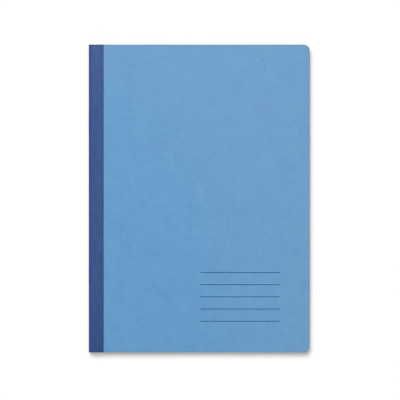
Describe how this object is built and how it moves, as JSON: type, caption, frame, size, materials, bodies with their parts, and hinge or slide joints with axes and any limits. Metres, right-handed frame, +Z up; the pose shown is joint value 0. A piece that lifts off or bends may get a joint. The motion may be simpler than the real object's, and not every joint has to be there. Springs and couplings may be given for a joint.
{
  "type": "stapled exercise book",
  "caption": "Closed exercise book with rounded fore-edge corners: folded sheets stapled through the fold into a board cover, with a cloth tape round the spine; it opens flat.",
  "frame": {"origin": "bottom centre of the closed book's box", "axes": "+X from the spine to the fore edge, +Y towards the head, +Z up out of the front cover"},
  "size_m": [0.151, 0.21, 0.0057],
  "materials": {
    "pressboard": "calendered blue pressboard, faintly mottled, satin",
    "binding_cloth": "dark blue woven binding cloth, matt",
    "writing_paper": "smooth off-white writing paper",
    "staple_wire": "galvanised drawn wire"
  },
  "bodies": {
    "back_cover": {"back_cover": "pressboard", "spine_tape_back": "binding_cloth"},
    "spine": {"cover_fold": "pressboard", "spine_tape_wrap": "binding_cloth", "staple_head": "staple_wire", "staple_tail": "staple_wire", "sheet_01_fold": "writing_paper", "sheet_02_fold": "writing_paper", "sheet_03_fold": "writing_paper", "sheet_04_fold": "writing_paper", "sheet_05_fold": "writing_paper", "sheet_06_fold": "writing_paper", "sheet_07_fold": "writing_paper", "sheet_08_fold": "writing_paper", "sheet_09_fold": "writing_paper", "sheet_10_fold": "writing_paper", "sheet_11_fold": "writing_paper", "sheet_12_fold": "writing_paper", "sheet_13_fold": "writing_paper", "sheet_14_fold": "writing_paper", "sheet_15_fold": "writing_paper", "sheet_16_fold": "writing_paper"},
    "front_cover": {"front_cover": "pressboard", "spine_tape_front": "binding_cloth"},
    "front_leaf_01": {"sheet_01_front_leaf": "writing_paper"},
    "front_leaf_02": {"sheet_02_front_leaf": "writing_paper"},
    "front_leaf_03": {"sheet_03_front_leaf": "writing_paper"},
    "front_leaf_04": {"sheet_04_front_leaf": "writing_paper"},
    "front_leaf_05": {"sheet_05_front_leaf": "writing_paper"},
    "front_leaf_06": {"sheet_06_front_leaf": "writing_paper"},
    "front_leaf_07": {"sheet_07_front_leaf": "writing_paper"},
    "front_leaf_08": {"sheet_08_front_leaf": "writing_paper"},
    "front_leaf_09": {"sheet_09_front_leaf": "writing_paper"},
    "front_leaf_10": {"sheet_10_front_leaf": "writing_paper"},
    "front_leaf_11": {"sheet_11_front_leaf": "writing_paper"},
    "front_leaf_12": {"sheet_12_front_leaf": "writing_paper"},
    "front_leaf_13": {"sheet_13_front_leaf": "writing_paper"},
    "front_leaf_14": {"sheet_14_front_leaf": "writing_paper"},
    "front_leaf_15": {"sheet_15_front_leaf": "writing_paper"},
    "front_leaf_16": {"sheet_16_front_leaf": "writing_paper"},
    "back_leaf_01": {"sheet_01_back_leaf": "writing_paper"},
    "back_leaf_02": {"sheet_02_back_leaf": "writing_paper"},
    "back_leaf_03": {"sheet_03_back_leaf": "writing_paper"},
    "back_leaf_04": {"sheet_04_back_leaf": "writing_paper"},
    "back_leaf_05": {"sheet_05_back_leaf": "writing_paper"},
    "back_leaf_06": {"sheet_06_back_leaf": "writing_paper"},
    "back_leaf_07": {"sheet_07_back_leaf": "writing_paper"},
    "back_leaf_08": {"sheet_08_back_leaf": "writing_paper"},
    "back_leaf_09": {"sheet_09_back_leaf": "writing_paper"},
    "back_leaf_10": {"sheet_10_back_leaf": "writing_paper"},
    "back_leaf_11": {"sheet_11_back_leaf": "writing_paper"},
    "back_leaf_12": {"sheet_12_back_leaf": "writing_paper"},
    "back_leaf_13": {"sheet_13_back_leaf": "writing_paper"},
    "back_leaf_14": {"sheet_14_back_leaf": "writing_paper"},
    "back_leaf_15": {"sheet_15_back_leaf": "writing_paper"},
    "back_leaf_16": {"sheet_16_back_leaf": "writing_paper"}
  },
  "joints": [
    {"name": "back_cover_hinge", "type": "hinge", "parent": "back_cover", "child": "spine", "pos_m": [-0.07249, 0, 0.00284], "axis": [0, -1, 0], "range_deg": [0, 90], "deforming": ["sheet_01_fold", "sheet_02_fold", "sheet_03_fold", "sheet_04_fold", "sheet_05_fold", "sheet_06_fold", "sheet_07_fold", "sheet_08_fold", "sheet_09_fold", "sheet_10_fold", "sheet_11_fold", "sheet_12_fold", "sheet_13_fold", "sheet_14_fold", "sheet_15_fold", "sheet_16_fold", "cover_fold", "spine_tape_wrap"]},
    {"name": "front_cover_hinge", "type": "hinge", "parent": "spine", "child": "front_cover", "pos_m": [-0.07249, 0, 0.00284], "axis": [0, -1, 0], "range_deg": [0, 90], "deforming": ["sheet_01_fold", "sheet_02_fold", "sheet_03_fold", "sheet_04_fold", "sheet_05_fold", "sheet_06_fold", "sheet_07_fold", "sheet_08_fold", "sheet_09_fold", "sheet_10_fold", "sheet_11_fold", "sheet_12_fold", "sheet_13_fold", "sheet_14_fold", "sheet_15_fold", "sheet_16_fold", "cover_fold", "spine_tape_wrap"]},
    {"name": "front_leaf_01_fold", "type": "hinge", "parent": "spine", "child": "front_leaf_01", "pos_m": [-0.07249, 0, 0.00284], "axis": [0, -1, 0], "range_deg": [0, 90]},
    {"name": "front_leaf_02_fold", "type": "hinge", "parent": "spine", "child": "front_leaf_02", "pos_m": [-0.07249, 0, 0.00284], "axis": [0, -1, 0], "range_deg": [0, 90]},
    {"name": "front_leaf_03_fold", "type": "hinge", "parent": "spine", "child": "front_leaf_03", "pos_m": [-0.07249, 0, 0.00284], "axis": [0, -1, 0], "range_deg": [0, 90]},
    {"name": "front_leaf_04_fold", "type": "hinge", "parent": "spine", "child": "front_leaf_04", "pos_m": [-0.07249, 0, 0.00284], "axis": [0, -1, 0], "range_deg": [0, 90]},
    {"name": "front_leaf_05_fold", "type": "hinge", "parent": "spine", "child": "front_leaf_05", "pos_m": [-0.07249, 0, 0.00284], "axis": [0, -1, 0], "range_deg": [0, 90]},
    {"name": "front_leaf_06_fold", "type": "hinge", "parent": "spine", "child": "front_leaf_06", "pos_m": [-0.07249, 0, 0.00284], "axis": [0, -1, 0], "range_deg": [0, 90]},
    {"name": "front_leaf_07_fold", "type": "hinge", "parent": "spine", "child": "front_leaf_07", "pos_m": [-0.07249, 0, 0.00284], "axis": [0, -1, 0], "range_deg": [0, 90]},
    {"name": "front_leaf_08_fold", "type": "hinge", "parent": "spine", "child": "front_leaf_08", "pos_m": [-0.07249, 0, 0.00284], "axis": [0, -1, 0], "range_deg": [0, 90]},
    {"name": "front_leaf_09_fold", "type": "hinge", "parent": "spine", "child": "front_leaf_09", "pos_m": [-0.07249, 0, 0.00284], "axis": [0, -1, 0], "range_deg": [0, 90]},
    {"name": "front_leaf_10_fold", "type": "hinge", "parent": "spine", "child": "front_leaf_10", "pos_m": [-0.07249, 0, 0.00284], "axis": [0, -1, 0], "range_deg": [0, 90]},
    {"name": "front_leaf_11_fold", "type": "hinge", "parent": "spine", "child": "front_leaf_11", "pos_m": [-0.07249, 0, 0.00284], "axis": [0, -1, 0], "range_deg": [0, 90]},
    {"name": "front_leaf_12_fold", "type": "hinge", "parent": "spine", "child": "front_leaf_12", "pos_m": [-0.07249, 0, 0.00284], "axis": [0, -1, 0], "range_deg": [0, 90]},
    {"name": "front_leaf_13_fold", "type": "hinge", "parent": "spine", "child": "front_leaf_13", "pos_m": [-0.07249, 0, 0.00284], "axis": [0, -1, 0], "range_deg": [0, 90]},
    {"name": "front_leaf_14_fold", "type": "hinge", "parent": "spine", "child": "front_leaf_14", "pos_m": [-0.07249, 0, 0.00284], "axis": [0, -1, 0], "range_deg": [0, 90]},
    {"name": "front_leaf_15_fold", "type": "hinge", "parent": "spine", "child": "front_leaf_15", "pos_m": [-0.07249, 0, 0.00284], "axis": [0, -1, 0], "range_deg": [0, 90]},
    {"name": "front_leaf_16_fold", "type": "hinge", "parent": "spine", "child": "front_leaf_16", "pos_m": [-0.07249, 0, 0.00284], "axis": [0, -1, 0], "range_deg": [0, 90]},
    {"name": "back_leaf_01_fold", "type": "hinge", "parent": "spine", "child": "back_leaf_01", "pos_m": [-0.07249, 0, 0.00284], "axis": [0, 1, 0], "range_deg": [0, 90]},
    {"name": "back_leaf_02_fold", "type": "hinge", "parent": "spine", "child": "back_leaf_02", "pos_m": [-0.07249, 0, 0.00284], "axis": [0, 1, 0], "range_deg": [0, 90]},
    {"name": "back_leaf_03_fold", "type": "hinge", "parent": "spine", "child": "back_leaf_03", "pos_m": [-0.07249, 0, 0.00284], "axis": [0, 1, 0], "range_deg": [0, 90]},
    {"name": "back_leaf_04_fold", "type": "hinge", "parent": "spine", "child": "back_leaf_04", "pos_m": [-0.07249, 0, 0.00284], "axis": [0, 1, 0], "range_deg": [0, 90]},
    {"name": "back_leaf_05_fold", "type": "hinge", "parent": "spine", "child": "back_leaf_05", "pos_m": [-0.07249, 0, 0.00284], "axis": [0, 1, 0], "range_deg": [0, 90]},
    {"name": "back_leaf_06_fold", "type": "hinge", "parent": "spine", "child": "back_leaf_06", "pos_m": [-0.07249, 0, 0.00284], "axis": [0, 1, 0], "range_deg": [0, 90]},
    {"name": "back_leaf_07_fold", "type": "hinge", "parent": "spine", "child": "back_leaf_07", "pos_m": [-0.07249, 0, 0.00284], "axis": [0, 1, 0], "range_deg": [0, 90]},
    {"name": "back_leaf_08_fold", "type": "hinge", "parent": "spine", "child": "back_leaf_08", "pos_m": [-0.07249, 0, 0.00284], "axis": [0, 1, 0], "range_deg": [0, 90]},
    {"name": "back_leaf_09_fold", "type": "hinge", "parent": "spine", "child": "back_leaf_09", "pos_m": [-0.07249, 0, 0.00284], "axis": [0, 1, 0], "range_deg": [0, 90]},
    {"name": "back_leaf_10_fold", "type": "hinge", "parent": "spine", "child": "back_leaf_10", "pos_m": [-0.07249, 0, 0.00284], "axis": [0, 1, 0], "range_deg": [0, 90]},
    {"name": "back_leaf_11_fold", "type": "hinge", "parent": "spine", "child": "back_leaf_11", "pos_m": [-0.07249, 0, 0.00284], "axis": [0, 1, 0], "range_deg": [0, 90]},
    {"name": "back_leaf_12_fold", "type": "hinge", "parent": "spine", "child": "back_leaf_12", "pos_m": [-0.07249, 0, 0.00284], "axis": [0, 1, 0], "range_deg": [0, 90]},
    {"name": "back_leaf_13_fold", "type": "hinge", "parent": "spine", "child": "back_leaf_13", "pos_m": [-0.07249, 0, 0.00284], "axis": [0, 1, 0], "range_deg": [0, 90]},
    {"name": "back_leaf_14_fold", "type": "hinge", "parent": "spine", "child": "back_leaf_14", "pos_m": [-0.07249, 0, 0.00284], "axis": [0, 1, 0], "range_deg": [0, 90]},
    {"name": "back_leaf_15_fold", "type": "hinge", "parent": "spine", "child": "back_leaf_15", "pos_m": [-0.07249, 0, 0.00284], "axis": [0, 1, 0], "range_deg": [0, 90]},
    {"name": "back_leaf_16_fold", "type": "hinge", "parent": "spine", "child": "back_leaf_16", "pos_m": [-0.07249, 0, 0.00284], "axis": [0, 1, 0], "range_deg": [0, 90]}
  ],
  "couplings": [
    {"joint": "front_leaf_01_fold", "follows": "front_cover_hinge", "ratio": 0.9992},
    {"joint": "front_leaf_02_fold", "follows": "front_cover_hinge", "ratio": 0.998},
    {"joint": "front_leaf_03_fold", "follows": "front_cover_hinge", "ratio": 0.9966},
    {"joint": "front_leaf_04_fold", "follows": "front_cover_hinge", "ratio": 0.9951},
    {"joint": "front_leaf_05_fold", "follows": "front_cover_hinge", "ratio": 0.9934},
    {"joint": "front_leaf_06_fold", "follows": "front_cover_hinge", "ratio": 0.9916},
    {"joint": "front_leaf_07_fold", "follows": "front_cover_hinge", "ratio": 0.9898},
    {"joint": "front_leaf_08_fold", "follows": "front_cover_hinge", "ratio": 0.9878},
    {"joint": "front_leaf_09_fold", "follows": "front_cover_hinge", "ratio": 0.9858},
    {"joint": "front_leaf_10_fold", "follows": "front_cover_hinge", "ratio": 0.9837},
    {"joint": "front_leaf_11_fold", "follows": "front_cover_hinge", "ratio": 0.9816},
    {"joint": "front_leaf_12_fold", "follows": "front_cover_hinge", "ratio": 0.9794},
    {"joint": "front_leaf_13_fold", "follows": "front_cover_hinge", "ratio": 0.9771},
    {"joint": "front_leaf_14_fold", "follows": "front_cover_hinge", "ratio": 0.9748},
    {"joint": "front_leaf_15_fold", "follows": "front_cover_hinge", "ratio": 0.9724},
    {"joint": "front_leaf_16_fold", "follows": "front_cover_hinge", "ratio": 0.97},
    {"joint": "back_leaf_01_fold", "follows": "back_cover_hinge", "ratio": 0.9992},
    {"joint": "back_leaf_02_fold", "follows": "back_cover_hinge", "ratio": 0.998},
    {"joint": "back_leaf_03_fold", "follows": "back_cover_hinge", "ratio": 0.9966},
    {"joint": "back_leaf_04_fold", "follows": "back_cover_hinge", "ratio": 0.9951},
    {"joint": "back_leaf_05_fold", "follows": "back_cover_hinge", "ratio": 0.9934},
    {"joint": "back_leaf_06_fold", "follows": "back_cover_hinge", "ratio": 0.9916},
    {"joint": "back_leaf_07_fold", "follows": "back_cover_hinge", "ratio": 0.9898},
    {"joint": "back_leaf_08_fold", "follows": "back_cover_hinge", "ratio": 0.9878},
    {"joint": "back_leaf_09_fold", "follows": "back_cover_hinge", "ratio": 0.9858},
    {"joint": "back_leaf_10_fold", "follows": "back_cover_hinge", "ratio": 0.9837},
    {"joint": "back_leaf_11_fold", "follows": "back_cover_hinge", "ratio": 0.9816},
    {"joint": "back_leaf_12_fold", "follows": "back_cover_hinge", "ratio": 0.9794},
    {"joint": "back_leaf_13_fold", "follows": "back_cover_hinge", "ratio": 0.9771},
    {"joint": "back_leaf_14_fold", "follows": "back_cover_hinge", "ratio": 0.9748},
    {"joint": "back_leaf_15_fold", "follows": "back_cover_hinge", "ratio": 0.9724},
    {"joint": "back_leaf_16_fold", "follows": "back_cover_hinge", "ratio": 0.97}
  ]
}
